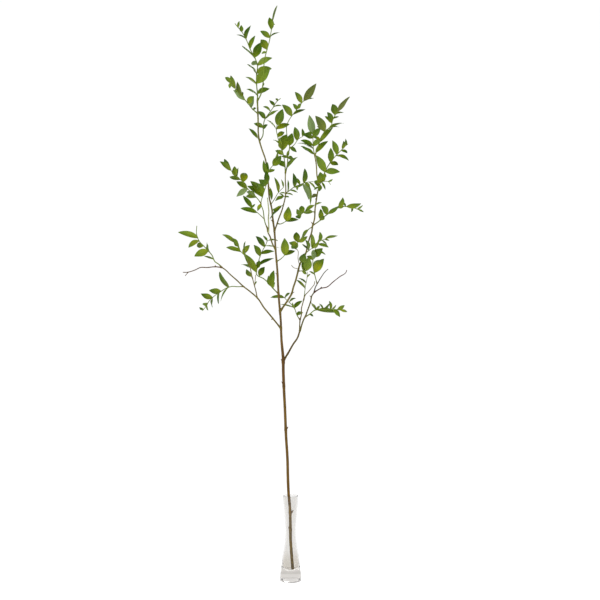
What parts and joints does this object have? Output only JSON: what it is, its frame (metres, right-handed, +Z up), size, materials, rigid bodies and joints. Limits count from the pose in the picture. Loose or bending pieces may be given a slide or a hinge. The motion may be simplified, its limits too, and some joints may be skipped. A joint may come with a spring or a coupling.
{
  "type": "ruscus stem",
  "caption": "Tall cut branch with small pointed leaves in pairs on thin twigs, standing in a slender waisted clear glass bud vase.",
  "frame": {"origin": "centre of the vase's foot, on the surface that it stands on", "axes": "+Z up along the vase's axis, -Y towards the viewer of the picture, +X to the viewer's right"},
  "size_m": [0.4071, 0.2337, 1.2822],
  "materials": {
    "glass": "polished",
    "bark": "matte",
    "leaf": "satin"
  },
  "bodies": {
    "root": {"a_end": "leaf", "a_left": "leaf", "a_up_leaf": "leaf", "a_up_spray": "leaf", "arched": "leaf", "back_left": "leaf", "centre_left": "leaf", "centre_right": "leaf", "centre_side": "leaf", "d_cluster": "leaf", "d_end_left": "leaf", "d_end_right": "leaf", "d_leaf": "leaf", "d_left": "leaf", "d_low_left": "leaf", "d_node_left": "leaf", "d_right": "leaf", "d_twig_leaf": "leaf", "e_right_leaf": "leaf", "far_right": "leaf", "far_right_low": "leaf", "glass_vase": "glass", "inner_shoot": "leaf", "leader_left": "leaf", "leader_right": "leaf", "left_shoot": "leaf", "low_left": "leaf", "main_hanging": "leaf", "main_leaf": "leaf", "main_right": "leaf", "middle_spray": "leaf", "pale_shoot": "leaf", "right_spray": "leaf", "s1_low": "leaf", "s1_spray": "leaf", "s2_leaf": "leaf", "s2_node_left": "leaf", "s2_pair": "leaf", "top_left_pair": "leaf", "top_right_leaf": "leaf", "upper_left": "leaf", "upper_right": "leaf", "woody_stem": "bark"}
  },
  "joints": []
}
